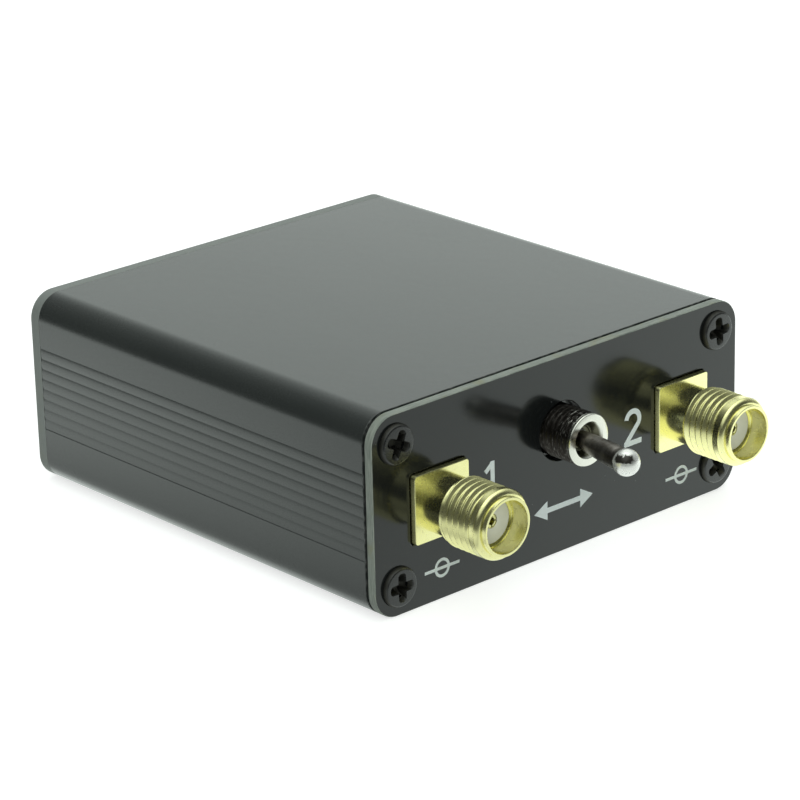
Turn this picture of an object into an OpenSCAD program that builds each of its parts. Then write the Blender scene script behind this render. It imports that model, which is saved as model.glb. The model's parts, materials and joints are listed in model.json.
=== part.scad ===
// Two-way coaxial antenna switch: an extruded case with flat end panels, two coaxial
// jacks and a toggle on the front, one common jack on the back.
// X runs across the front, Y from front to back and Z up. The origin is the centre of
// the case's bottom face.

/* [Case] */
// Width of the case across the front
case_w = 45; // [44:0.5:50]
// Height of the case
case_h = 18.5; // [18.2:0.1:20]
// Length of the extrusion between the end panels
case_l = 45; // [44:1:60]
// Thickness of the case wall
case_wall = 1.5; // [1.3:0.1:1.6]
// Outer corner radius of the case
case_corner_r = 2.5; // [2.2:0.1:2.8]
// Number of grip ribs on each side wall
rib_count = 8; // [4:1:8]
// Spacing of the grip ribs
rib_pitch = 1; // [0.9:0.05:1]

/* [End panels] */
// Thickness of each end panel
panel_t = 1.2; // [1:0.1:1.2]
// Side of the square cut-out round each jack
cutout_w = 6.6; // [6.5:0.05:7.2]
// Distance of each screw from the two nearest edges
screw_inset = 2.7; // [2.6:0.05:2.8]
// Diameter of a screw's pan head
head_d = 3.7; // [3.6:0.1:4.4]
// Height of a screw's pan head
head_h = 0.5; // [0.5:0.05:0.9]

/* [Coaxial jacks] */
// Distance between the two front jacks
jack_spacing = 30; // [27:1:30]
// Height of the jack axes above the bottom
jack_z = 9.25; // [9.1:0.05:9.4]
// Side of the square jack flange
flange_w = 6.35; // [6.2:0.05:6.4]
// Thickness of the jack flange
flange_t = 1.75; // [1.5:0.05:1.8]
// Length of the jack from the board's edge to its mouth
jack_l = 9.77; // [9.5:0.05:10]
// Outer diameter of the jack's thread
thread_d = 6.35; // [6.3:0.05:6.4]
// Pitch of the jack's thread
thread_pitch = 0.7056; // [0.7:0.0001:0.72]
// Diameter of the bore in the jack's mouth
mouth_bore_d = 4.7; // [4.6:0.05:4.8]
// Depth of the bore in the jack's mouth
mouth_bore_l = 1.95; // [1.9:0.05:2]
// Diameter of the insulator
insulator_d = 4.1; // [4:0.05:4.15]
// Outer diameter of the centre socket
socket_d = 1.27; // [1.2:0.01:1.3]
// Bore of the centre socket
socket_bore_d = 0.94; // [0.9:0.01:0.98]

/* [Toggle switch] */
// Height of the toggle's axis above the bottom
toggle_z = 11.49; // [11.4:0.01:11.6]
// Length of the bushing in front of the panel
bushing_reach = 3.35; // [3.2:0.05:3.5]
// Outer diameter of the bushing's thread
bushing_d = 4.83; // [4.7:0.01:4.9]
// Pitch of the bushing's thread
bushing_pitch = 0.53; // [0.5:0.01:0.56]
// Diameter of the hole in the panel round the bushing
toggle_hole_d = 5.5; // [5.3:0.1:5.8]
// Distance from the lever's pivot to the centre of its ball tip
lever_reach = 8.1; // [8:0.01:8.6]
// Diameter of the ball tip
lever_tip_d = 2.45; // [2.3:0.05:2.5]
// Angle of the lever to each side of the middle
throw_angle = 10.5; // [10:0.1:10.6]
// Turn of the rocker for each degree of the lever
rocker_ratio = 0.64; // [0.62:0.01:0.66]

/* [Circuit board] */
// Thickness of the circuit board
board_t = 1.6; // [1.5:0.05:1.6]
// Width of a signal track
track_w = 1.8; // [1.4:0.1:2]

/* [Hidden] */
$fn = 64;

// Gap left between two surfaces that only just clear each other
gap = 0.01;
// Overlap that lets a cut pass clean through a face
eps = 0.1;

// Colours
black_anodised = [0.20, 0.21, 0.21];
black_mask = [0.24, 0.26, 0.26];
board_green = [0.10, 0.30, 0.16];
gold = [0.90, 0.87, 0.55];
insulator_white = [0.88, 0.87, 0.82];
tin = [0.75, 0.76, 0.76];
nickel = [0.80, 0.80, 0.76];
copper = [0.80, 0.50, 0.32];
black_plastic = [0.10, 0.10, 0.11];
screw_black = [0.16, 0.16, 0.16];

// Case: screw channels, board rails and grip ribs
case_end = case_l / 2;
front_face = case_end + panel_t;
screw_x = case_w / 2 - screw_inset;
channel_r = 2.3;
pilot_r = 0.95;
cavity_r = 1;
rail_depth = 0.8;
rail_h = 0.9;
slot_depth = 0.6;
slot_play = 0.05;
rib_r = 1.6;
rib_depth = rib_r - sqrt(rib_r * rib_r - rib_pitch * rib_pitch / 4);
rib_middle = case_h / 2 + 0.17;
inner_x = case_w / 2 - case_wall;

// Board, with its top just under the jacks' centre pins
pin_lift = 0.4;
copper_t = 0.035;
board_top = jack_z - pin_lift;
board_bottom = board_top - board_t;
board_play = 0.1;
board_w = 2 * (inner_x + slot_depth - board_play);

// Panels
screw_hole_r = 1.25;

// Screws: shank, cross recess and the turn of each cross as seen from outside
shank_r = pilot_r - gap;
shank_l = 6.5;
head_face_r = head_d / 2 - 0.35;
head_edge_h = 0.2;
recess_span = 2.6;
recess_w = 0.82;
recess_l = 0.45;
front_turns = [-22, 5, 1, 28];
rear_turns = [12, -31, 40, -8];

// Jack, along its own axis from the board's edge
neck_r = 2.7;
thread_r = thread_d / 2;
thread_root_r = thread_r - 0.38;
mouth_ring_r = 2.65;
groove_half = 0.26;
groove_floor = 0.05;
first_groove = jack_l - 1.32;
groove_count = 6;
rear_bevel = 0.16;
front_bevel = 0.4;
thread_start = first_groove - (groove_count - 1) * thread_pitch - groove_half - rear_bevel;
thread_end = jack_l - 0.5;
insulator_face = jack_l - mouth_bore_l;
leg_w = 1.075;
leg_l = 4.4;
leg_h = 1.2;
pin_r = pin_lift - copper_t;
pin_l = 3;
slit_w = 0.12;
slit_l = 2.4;
socket_bore_l = 3;
leg_fillet_w = 0.45;
leg_fillet_h = 0.6;
pin_solder_w = 1.5;
pin_solder_h = 0.3;
front_jacks = [-jack_spacing / 2, jack_spacing / 2];

// Toggle, along its own axis: positive towards the ball tip, zero at the pivot
pivot_reach = 1.35;
pivot_y = -front_face - pivot_reach;
rim = bushing_reach - pivot_reach;
bracket_front = -(case_end - 0.15) - pivot_y;
bracket_t = 0.4;
plate_t = 0.6;
plate_w = 7.6;
plate_h = 4.4;
plate_front = -(bracket_front + bracket_t);
plate_back = plate_front - plate_t;
seat_r = 1.5;
ball_r = seat_r - 0.05;
throat_r = 1.1;
throat = sqrt(seat_r * seat_r - throat_r * throat_r);
rim_bore_r = 1.67;
rear_bore_r = 1.8;
rear_bore = -1.6;
bushing_root_r = bushing_d / 2 - 0.27;
bushing_groove_half = 0.22;
bushing_grooves = 8;
trunnion_r = 0.35;
trunnion_reach = 1.75;
trunnion_slot_r = trunnion_r + 0.03;
trunnion_slot_reach = trunnion_reach + 0.07;
stem_base_r = 0.62;
stem_neck_r = 1.05;
stem_neck = lever_reach - 0.72;
tail_r = 0.95;
tail_l = 5.2;

// Plunger in the lever's tail, and the spring behind it
plunger_r = 0.5;
plunger_bore_r = plunger_r + 0.03;
plunger_bore = 1;
plunger_back = 3.4;
spring_r = 0.4;
spring_wire_r = 0.07;
spring_turns = 7;
spring_front = plunger_back - 0.2;

// Rocker: the plunger's tip runs in its cradle. The tip's centre follows an arc of
// radius path_r in the rocker's own frame, from the two pivots and the ratio.
rocker_y = pivot_y + 7.3;
rocker_t = 0.3;
rocker_w = 1.5;
cradle_gap = 0.04;
tip_height = rocker_t / 2 + cradle_gap + plunger_r;
tip_reach = rocker_y - pivot_y - tip_height;
path_run = tip_reach - tip_height * rocker_ratio;
path_sag = tip_reach * (rocker_ratio + 0.5) - tip_height * rocker_ratio * rocker_ratio / 2;
path_r = path_run * path_run / (2 * path_sag);
cradle_r = path_r + plunger_r + cradle_gap;
cradle_half = 1.7;
wing_end = 3.05;
rocker_pin_r = 0.25;
rocker_pin_reach = 1.2;
rocker_pin_root = 0.6;
rocker_rest = throw_angle * rocker_ratio;

// Switch housing and its terminals
housing_w = 8.4;
housing_h = 5;
housing_wall = 0.8;
housing_front = pivot_y - plate_back;
housing_back = housing_front + 5.75;
floor_y = housing_back - 1;
pad_t = 0.35;
contact_x = 2.54;
rivet_r = 0.55;
rivet_gap = 0.03;
rocker_dip = (contact_x + rivet_r) * sin(rocker_rest) + rocker_t / 2 * cos(rocker_rest);
rivet_top = rocker_y + rocker_dip + rivet_gap;
terminal_y = housing_back + 1.1;
terminal_w = 0.5;
terminal_l = 0.6;
terminal_foot = board_bottom - 0.75;
terminal_hole_r = 0.45;
strip_h = 0.9;
pad_w = 1.4;
pad_h = 2.2;
common_pad_w = 1.6;
ear_in = rocker_w / 2 + 0.1;
ear_t = 0.3;
ear_half = 0.6;
ear_lead = 0.55;
ear_hole_r = rocker_pin_r + 0.03;
bracket_leg_y = pivot_y + 5.25;
bracket_leg_w = 1.4;

// Tracks: each side track dips to the underside and comes up through a via
via_y = -(case_end - 5.2);
via_r = 0.3;
near_run = via_y + 0.2;
far_run = terminal_y + 2.9;
under_w = 1.2;
track_end = case_end - track_w / 2 - 0.4;
pad_r = 0.85;
foot_solder_h = 0.5;
foot_solder_r = 0.8;
foot_solder_tip_r = 0.45;

module rounded_rect(w, h, r) {
    translate([-w / 2 + r, 0]) square([w - 2 * r, h]);
    translate([-w / 2, r]) square([w, h - 2 * r]);
    for (x = [-w / 2 + r, w / 2 - r], y = [r, h - r]) translate([x, y]) circle(r = r);
}

module at_screws() {
    for (x = [-screw_x, screw_x], z = [screw_inset, case_h - screw_inset]) translate([x, z]) children();
}

// Stands a flat outline upright, from y0 towards the back by l
module upright(y0, l) {
    translate([0, y0 + l, 0]) rotate([90, 0, 0]) linear_extrude(l) children();
}

// Case -------------------------------------------------------------------------

module rib_band() {
    band_h = rib_count * rib_pitch;
    z0 = rib_middle - band_h / 2;
    difference() {
        translate([case_w / 2 - rib_depth, z0]) square([rib_depth + eps, band_h]);
        for (i = [0 : rib_count - 1]) {
            translate([case_w / 2 - rib_r, z0 + (i + 0.5) * rib_pitch]) circle(r = rib_r);
        }
    }
}

module case_profile() {
    difference() {
        union() {
            difference() {
                rounded_rect(case_w, case_h, case_corner_r);
                translate([0, case_wall]) rounded_rect(2 * inner_x, case_h - 2 * case_wall, cavity_r);
            }
            intersection() {
                rounded_rect(case_w, case_h, case_corner_r);
                at_screws() circle(r = channel_r);
            }
            for (side = [-1, 1], z = [board_bottom - rail_h, board_top + slot_play]) {
                translate([side * (inner_x - rail_depth / 2 + eps / 2), z + rail_h / 2])
                    square([rail_depth + eps, rail_h], center = true);
            }
        }
        at_screws() circle(r = pilot_r);
        for (side = [-1, 1]) {
            translate([side * (inner_x + slot_depth / 2 - eps / 2), board_bottom + (board_t + slot_play) / 2])
                square([slot_depth + eps, board_t + slot_play], center = true);
        }
        rib_band();
        mirror([1, 0]) rib_band();
    }
}

module case_extrusion() {
    color(black_anodised) upright(-case_end, case_l) case_profile();
}

// End panels and screws --------------------------------------------------------

module panel_outline() {
    difference() {
        rounded_rect(case_w, case_h, case_corner_r);
        at_screws() circle(r = screw_hole_r);
    }
}

module jack_cutout() {
    square(cutout_w, center = true);
}

module front_panel() {
    color(black_mask) upright(-front_face, panel_t) difference() {
        panel_outline();
        for (x = front_jacks) translate([x, jack_z]) jack_cutout();
        translate([0, toggle_z]) circle(d = toggle_hole_d);
    }
}

module rear_panel() {
    color(black_mask) upright(case_end, panel_t) difference() {
        panel_outline();
        translate([0, jack_z]) jack_cutout();
    }
}

// One screw, its shank along -Z and its head on +Z
module screw() {
    difference() {
        union() {
            translate([0, 0, -shank_l]) cylinder(r = shank_r, h = shank_l + eps);
            cylinder(d = head_d, h = head_edge_h);
            translate([0, 0, head_edge_h]) cylinder(r1 = head_d / 2, r2 = head_face_r, h = head_h - head_edge_h);
        }
        for (turn = [0, 90]) {
            rotate([0, 0, turn]) translate([-recess_span / 2, -recess_w / 2, head_h - recess_l])
                cube([recess_span, recess_w, recess_l + eps]);
        }
    }
}

module screw_row(turns) {
    for (i = [0 : 3]) {
        x = (i % 2 == 0 ? -1 : 1) * screw_x;
        z = i < 2 ? case_h - screw_inset : screw_inset;
        translate([x, -front_face, z]) rotate([90, 0, 0]) rotate([0, 0, turns[i]]) screw();
    }
}

module panel_screws() {
    color(screw_black) {
        screw_row(front_turns);
        rotate([0, 0, 180]) screw_row(rear_turns);
    }
}

// Coaxial jacks ----------------------------------------------------------------

// Outline of half the turned barrel: radius, then distance from the board's edge
function barrel_outline() = concat(
    [[insulator_d / 2, 0], [neck_r, 0], [neck_r, thread_start], [thread_r - rear_bevel, thread_start]],
    [[thread_r, thread_start + rear_bevel]],
    [for (i = [groove_count - 1 : -1 : 0], p = groove(first_groove - i * thread_pitch)) p],
    [[thread_r, thread_end - front_bevel], [mouth_ring_r, thread_end], [mouth_ring_r, jack_l]],
    [[mouth_bore_d / 2, jack_l], [mouth_bore_d / 2, insulator_face], [insulator_d / 2, insulator_face]]
);

function groove(z) = [
    [thread_r, z - groove_half], [thread_root_r, z - groove_floor],
    [thread_root_r, z + groove_floor], [thread_r, z + groove_half]
];

// The shell, its axis on +Z and the board's plane on XZ
module jack_shell() {
    rotate_extrude() polygon(barrel_outline());
    difference() {
        translate([0, -flange_w / 2, 0]) linear_extrude(flange_t) rounded_rect(flange_w, flange_w, 0.3);
        translate([0, 0, -eps]) cylinder(d = insulator_d, h = flange_t + 2 * eps);
    }
    for (side = [-1, 1]) {
        x = side * (flange_w - leg_w) / 2 - leg_w / 2;
        translate([x, -pin_lift, -leg_l]) cube([leg_w, leg_h, leg_l + eps]);
        translate([x, -flange_w / 2, -leg_l])
            cube([leg_w, flange_w / 2 - pin_lift - board_t, leg_l + eps]);
    }
}

module jack_insulator() {
    difference() {
        cylinder(d = insulator_d - 2 * gap, h = insulator_face);
        translate([0, 0, -eps]) cylinder(d = socket_d, h = insulator_face + 2 * eps);
    }
}

module jack_socket() {
    difference() {
        union() {
            cylinder(d = socket_d - 2 * gap, h = insulator_face);
            translate([0, 0, -pin_l]) cylinder(r = pin_r, h = pin_l + eps);
        }
        translate([0, 0, insulator_face - socket_bore_l]) cylinder(d = socket_bore_d, h = socket_bore_l + eps);
        for (turn = [0, 90]) {
            rotate([0, 0, turn]) translate([-socket_d, -slit_w / 2, insulator_face - slit_l])
                cube([2 * socket_d, slit_w, slit_l + eps]);
        }
    }
}

// Puts a piece of a jack on the front at x, or on the back
module front_jack(x) {
    translate([x, -case_end, jack_z]) rotate([90, 0, 0]) children();
}

module rear_jack() {
    rotate([0, 0, 180]) front_jack(0) children();
}

module port_1_jack() { color(gold) front_jack(-jack_spacing / 2) jack_shell(); }
module port_1_insulator() { color(insulator_white) front_jack(-jack_spacing / 2) jack_insulator(); }
module port_1_socket() { color(gold) front_jack(-jack_spacing / 2) jack_socket(); }
module port_2_jack() { color(gold) front_jack(jack_spacing / 2) jack_shell(); }
module port_2_insulator() { color(insulator_white) front_jack(jack_spacing / 2) jack_insulator(); }
module port_2_socket() { color(gold) front_jack(jack_spacing / 2) jack_socket(); }
module port_common_jack() { color(gold) rear_jack() jack_shell(); }
module port_common_insulator() { color(insulator_white) rear_jack() jack_insulator(); }
module port_common_socket() { color(gold) rear_jack() jack_socket(); }

// Circuit board ----------------------------------------------------------------

module circuit_board() {
    color(board_green) difference() {
        translate([-board_w / 2, -case_end, board_bottom]) cube([board_w, case_l, board_t]);
        for (x = [-contact_x, 0, contact_x]) {
            translate([x, terminal_y, board_bottom - eps]) cylinder(r = terminal_hole_r, h = board_t + 2 * eps);
        }
        for (x = front_jacks) {
            translate([x, via_y, board_bottom - eps]) cylinder(r = via_r + gap, h = board_t + 2 * eps);
        }
        for (side = [-1, 1]) {
            translate([side * (housing_w + bracket_t) / 2, bracket_leg_y, board_bottom + board_t / 2])
                cube([bracket_t + 0.2, bracket_leg_w + 0.2, board_t + 2 * eps], center = true);
        }
    }
}

// A flat track between two corners
module track(x0, y0, x1, y1, w, z) {
    translate([min(x0, x1) - w / 2, min(y0, y1) - w / 2, z])
        cube([abs(x1 - x0) + w, abs(y1 - y0) + w, copper_t]);
}

// Round pad under a terminal, and the hole through it
module terminal_pad(x, z) {
    translate([x, terminal_y, z]) cylinder(r = pad_r, h = copper_t);
}

module terminal_hole(x, z) {
    translate([x, terminal_y, z - eps]) cylinder(r = terminal_hole_r, h = 2 * eps + copper_t);
}

module track_common() {
    color(copper) difference() {
        union() {
            track(0, terminal_y, 0, track_end, track_w, board_top);
            terminal_pad(0, board_top);
        }
        terminal_hole(0, board_top);
    }
}

// A front port's track: down the via under its jack's pin, then along the underside
// to the terminal on the other side, by way of the row at run_y
module port_track(x_port, x_terminal, run_y) {
    z = board_bottom - copper_t;
    track(x_port, -track_end, x_port, via_y, track_w, board_top);
    translate([x_port, via_y, z]) cylinder(r = via_r, h = board_t + copper_t + eps / 10);
    difference() {
        union() {
            track(x_port, via_y, x_port, run_y, under_w, z);
            track(x_port, run_y, x_terminal, run_y, under_w, z);
            track(x_terminal, run_y, x_terminal, terminal_y, under_w, z);
            terminal_pad(x_terminal, z);
        }
        terminal_hole(x_terminal, z);
    }
}

module track_1() { color(copper) port_track(-jack_spacing / 2, contact_x, far_run); }
module track_2() { color(copper) port_track(jack_spacing / 2, -contact_x, near_run); }

// Fillet of solder round a pin of the given section, under the board
module foot_solder(x, y, pin_x, pin_y) {
    z = board_bottom - copper_t;
    difference() {
        translate([x, y, z - foot_solder_h]) cylinder(r1 = foot_solder_tip_r, r2 = foot_solder_r, h = foot_solder_h);
        translate([x, y, z]) cube([pin_x + 2 * gap, pin_y + 2 * gap, 2], center = true);
    }
}

// Fillets of solder along both sides of a jack's legs, and over its centre pin
module jack_solder() {
    for (side = [-1, 1], out = [-1, 1]) {
        edge = side * (flange_w - leg_w) / 2 + out * (leg_w / 2 + gap);
        translate([edge, -pin_lift, -leg_l]) linear_extrude(leg_l - gap)
            polygon([[0, 0], [out * leg_fillet_w, 0], [0, leg_fillet_h]]);
        translate([edge, -pin_lift - board_t, -leg_l]) linear_extrude(leg_l - gap)
            polygon([[0, 0], [out * leg_fillet_w, 0], [0, -leg_fillet_h]]);
    }
    difference() {
        translate([-pin_solder_w / 2, copper_t - pin_lift, -pin_l])
            cube([pin_solder_w, pin_solder_h, pin_l - 2 * pin_solder_h]);
        translate([0, 0, -pin_l - eps]) cylinder(r = pin_r + gap, h = pin_l);
    }
}

module solder_joints() {
    color(tin) {
        for (x = [-contact_x, 0, contact_x]) foot_solder(x, terminal_y, terminal_w, terminal_l);
        for (x = front_jacks) front_jack(x) jack_solder();
        rear_jack() jack_solder();
    }
}

// Toggle switch ----------------------------------------------------------------

// Moves a piece drawn along +Z to the toggle's axis, with its zero at the pivot
module on_toggle_axis() {
    translate([0, pivot_y, toggle_z]) rotate([90, 0, 0]) children();
}

function bushing_outline() = concat(
    [[0, plate_back], [bushing_d / 2, plate_back]],
    [for (i = [bushing_grooves - 1 : -1 : 0], p = bushing_groove(rim - 0.42 - i * bushing_pitch)) p],
    [[bushing_d / 2, rim - 0.1], [bushing_d / 2 - 0.1, rim], [0, rim]]
);

function bushing_groove(z) = [
    [bushing_d / 2, z - bushing_groove_half], [bushing_root_r, z],
    [bushing_d / 2, z + bushing_groove_half]
];

module switch_bushing() {
    color(nickel) on_toggle_axis() difference() {
        union() {
            rotate_extrude() polygon(bushing_outline());
            translate([-plate_w / 2, -plate_h / 2, plate_back]) cube([plate_w, plate_h, plate_t]);
        }
        translate([0, 0, throat]) cylinder(r1 = throat_r, r2 = rim_bore_r, h = rim - throat);
        translate([0, 0, rim - gap]) cylinder(r = rim_bore_r, h = eps);
        sphere(r = seat_r);
        translate([0, 0, rear_bore]) cylinder(r = seat_r, h = -rear_bore);
        translate([0, 0, plate_back - eps]) cylinder(r = rear_bore_r, h = rear_bore - plate_back + eps);
        rotate([90, 0, 0]) cylinder(r = trunnion_slot_r, h = 2 * trunnion_slot_reach, center = true);
        translate([-trunnion_slot_r, -trunnion_slot_reach, plate_back - eps])
            cube([2 * trunnion_slot_r, 2 * trunnion_slot_reach, eps - plate_back]);
    }
}

module switch_bracket() {
    front = -bracket_front;
    arm_x = housing_w / 2;
    arm_h = 3.2;
    arm_back = pivot_y - housing_back;
    color(tin) {
        on_toggle_axis() difference() {
            translate([-arm_x - bracket_t, -housing_h / 2, front - bracket_t])
                cube([housing_w + 2 * bracket_t, housing_h, bracket_t]);
            translate([0, 0, front - bracket_t - eps]) cylinder(d = bushing_d + 0.1, h = bracket_t + 2 * eps);
        }
        for (side = [-1, 1]) {
            on_toggle_axis() {
                translate([side * (arm_x + bracket_t / 2) - bracket_t / 2, -arm_h / 2, arm_back - bracket_t])
                    cube([bracket_t, arm_h, front - arm_back + bracket_t]);
                translate([side * (arm_x - 0.3) - 0.5, -arm_h / 2, arm_back - bracket_t])
                    cube([1, arm_h, bracket_t - gap]);
            }
            translate([side * (arm_x + bracket_t / 2) - bracket_t / 2, bracket_leg_y - bracket_leg_w / 2,
                       terminal_foot])
                cube([bracket_t, bracket_leg_w, toggle_z - terminal_foot]);
        }
    }
}

module switch_housing() {
    color(black_plastic) difference() {
        translate([-housing_w / 2 + gap, housing_front, toggle_z - housing_h / 2])
            cube([housing_w - 2 * gap, housing_back - housing_front, housing_h]);
        translate([-housing_w / 2 + housing_wall, housing_front - eps, toggle_z - housing_h / 2 + housing_wall])
            cube([housing_w - 2 * housing_wall, floor_y - housing_front + eps, housing_h - 2 * housing_wall]);
        for (x = [-contact_x, 0, contact_x]) {
            translate([x, housing_back, toggle_z]) cube([terminal_w + 0.1, 3, 1], center = true);
        }
    }
}

// The strip that leaves the housing and turns down through the board
module terminal_strip(x) {
    translate([x - terminal_w / 2, floor_y - eps, toggle_z - strip_h / 2])
        cube([terminal_w, terminal_y + terminal_l / 2 - floor_y + eps, strip_h]);
    translate([x - terminal_w / 2, terminal_y - terminal_l / 2, terminal_foot])
        cube([terminal_w, terminal_l, toggle_z + strip_h / 2 - terminal_foot]);
}

module contact_terminal(x) {
    color(nickel) {
        terminal_strip(x);
        translate([x - pad_w / 2, floor_y - pad_t, toggle_z - pad_h / 2]) cube([pad_w, pad_t, pad_h]);
        translate([x, floor_y - pad_t / 2, toggle_z]) rotate([90, 0, 0])
            cylinder(r = rivet_r, h = floor_y - pad_t / 2 - rivet_top);
    }
}

module terminal_1() { contact_terminal(contact_x); }
module terminal_2() { contact_terminal(-contact_x); }

module terminal_common() {
    color(nickel) {
        terminal_strip(0);
        translate([-common_pad_w / 2, floor_y - pad_t, toggle_z - ear_in - ear_t])
            cube([common_pad_w, pad_t, 2 * (ear_in + ear_t)]);
        for (side = [-1, 1]) {
            translate([0, 0, toggle_z + side * (ear_in + ear_t / 2)]) difference() {
                translate([-ear_half, rocker_y - ear_lead, -ear_t / 2])
                    cube([2 * ear_half, floor_y - rocker_y + ear_lead, ear_t]);
                translate([0, rocker_y, -ear_t]) cylinder(r = ear_hole_r, h = 2 * ear_t);
            }
        }
    }
}

// Moves a piece drawn with its tip along +Z into the lever's thrown position
module on_lever() {
    translate([0, pivot_y, toggle_z]) rotate([0, 0, -throw_angle]) rotate([90, 0, 0]) children();
}

module toggle_lever() {
    color(nickel) on_lever() difference() {
        union() {
            sphere(r = ball_r);
            translate([0, 0, throat]) cylinder(r1 = stem_base_r, r2 = stem_neck_r, h = stem_neck - throat);
            translate([0, 0, lever_reach]) sphere(d = lever_tip_d);
            rotate([90, 0, 0]) cylinder(r = trunnion_r, h = 2 * trunnion_reach, center = true);
            translate([0, 0, -tail_l]) cylinder(r = tail_r, h = tail_l);
        }
        translate([0, 0, -tail_l - eps]) cylinder(r = plunger_bore_r, h = tail_l + eps - plunger_bore);
    }
}

module lever_plunger() {
    color(nickel) on_lever() {
        translate([0, 0, -tip_reach]) sphere(r = plunger_r);
        translate([0, 0, -tip_reach]) cylinder(r = plunger_r, h = tip_reach - plunger_back);
    }
}

// Helical spring as one swept tube: rings of points round a rising centre line
module coil_spring(r, wire_r, z0, z1, turns) {
    ring_sides = 6;
    turn_rings = 10;
    rings = turns * turn_rings + 1;
    points = [
        for (i = [0 : rings - 1], s = [0 : ring_sides - 1])
            let (a = 360 * i / turn_rings, b = 360 * s / ring_sides,
                 d = r + wire_r * cos(b), z = z0 + (z1 - z0) * i / (rings - 1) + wire_r * sin(b))
            [d * cos(a), d * sin(a), z]
    ];
    sides = [
        for (i = [0 : rings - 2], s = [0 : ring_sides - 1], k = [0, 1])
            let (n = (s + 1) % ring_sides, p = i * ring_sides, q = p + ring_sides)
            k == 0 ? [p + s, q + s, q + n] : [p + s, q + n, p + n]
    ];
    last = (rings - 1) * ring_sides;
    caps = [
        for (s = [1 : ring_sides - 2], k = [0, 1])
            k == 0 ? [0, s, s + 1] : [last, last + s + 1, last + s]
    ];
    polyhedron(points, concat(sides, caps));
}

module lever_spring() {
    color(tin) on_lever()
        coil_spring(spring_r, spring_wire_r, -spring_front + spring_wire_r,
                    -plunger_bore - spring_wire_r - gap, spring_turns);
}

module rocker_profile() {
    centre = -rocker_t / 2 - cradle_r;
    outer_r = cradle_r + rocker_t;
    shoulder = centre + sqrt(cradle_r * cradle_r - cradle_half * cradle_half);
    intersection() {
        difference() {
            translate([0, centre]) circle(r = outer_r, $fn = 180);
            translate([0, centre]) circle(r = cradle_r, $fn = 180);
        }
        translate([-cradle_half, centre]) square([2 * cradle_half, outer_r + 1]);
    }
    for (side = [0, 1]) mirror([side, 0]) polygon([
        [cradle_half - 0.2, shoulder + 0.2], [cradle_half, shoulder + 0.03],
        [cradle_half + 0.4, -rocker_t / 2], [wing_end, -rocker_t / 2],
        [wing_end, rocker_t / 2], [cradle_half + 0.25, rocker_t / 2], [cradle_half - 0.2, shoulder + 0.42]
    ]);
}

module contact_rocker() {
    color(nickel) translate([0, rocker_y, toggle_z]) rotate([0, 0, rocker_rest]) {
        translate([0, 0, -rocker_w / 2]) linear_extrude(rocker_w) rocker_profile();
        for (side = [-1, 1]) {
            stub = rocker_pin_reach - rocker_pin_root;
            translate([0, 0, side * (rocker_pin_root + stub / 2)])
                cylinder(r = rocker_pin_r, h = stub, center = true);
        }
    }
}

case_extrusion();
front_panel();
rear_panel();
panel_screws();
circuit_board();
track_common();
track_1();
track_2();
solder_joints();
port_1_jack();
port_1_insulator();
port_1_socket();
port_2_jack();
port_2_insulator();
port_2_socket();
port_common_jack();
port_common_insulator();
port_common_socket();
switch_bushing();
switch_bracket();
switch_housing();
terminal_common();
terminal_1();
terminal_2();
toggle_lever();
lever_spring();
lever_plunger();
contact_rocker();
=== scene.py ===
import json
import math

import bmesh
import bpy
from mathutils import Matrix, Vector
from mathutils.geometry import tessellate_polygon

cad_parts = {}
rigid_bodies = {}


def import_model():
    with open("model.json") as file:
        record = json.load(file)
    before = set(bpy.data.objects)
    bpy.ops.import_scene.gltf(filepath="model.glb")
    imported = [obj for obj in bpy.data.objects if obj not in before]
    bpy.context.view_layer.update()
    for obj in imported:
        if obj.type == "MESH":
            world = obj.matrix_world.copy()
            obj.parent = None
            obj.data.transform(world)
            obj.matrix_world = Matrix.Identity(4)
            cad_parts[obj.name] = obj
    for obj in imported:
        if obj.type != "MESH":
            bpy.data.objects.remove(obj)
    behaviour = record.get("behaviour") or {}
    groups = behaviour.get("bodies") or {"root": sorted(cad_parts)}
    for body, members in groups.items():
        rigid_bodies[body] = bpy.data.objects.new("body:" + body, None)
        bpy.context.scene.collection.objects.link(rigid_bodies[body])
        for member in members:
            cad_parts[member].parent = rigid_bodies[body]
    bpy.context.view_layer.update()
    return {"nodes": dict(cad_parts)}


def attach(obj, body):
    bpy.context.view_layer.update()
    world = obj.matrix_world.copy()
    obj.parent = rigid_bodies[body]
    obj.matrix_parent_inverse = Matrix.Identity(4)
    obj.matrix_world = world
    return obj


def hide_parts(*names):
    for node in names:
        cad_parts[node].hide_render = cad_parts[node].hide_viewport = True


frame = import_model()
nodes = frame["nodes"]

# Studio -----------------------------------------------------------------------
# A white table under a broad softbox, with a white sweep behind the switch and to its
# right, a pale ceiling, and a window high in front and to the left. The rest of the room is
# dark, and metal and gloss show it as dark bands. The table ends a little way to the left.

MM = 0.001
BACKDROP = Vector((0.67, 0.74, 0))
ROOM_LEVEL = 0.08
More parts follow.
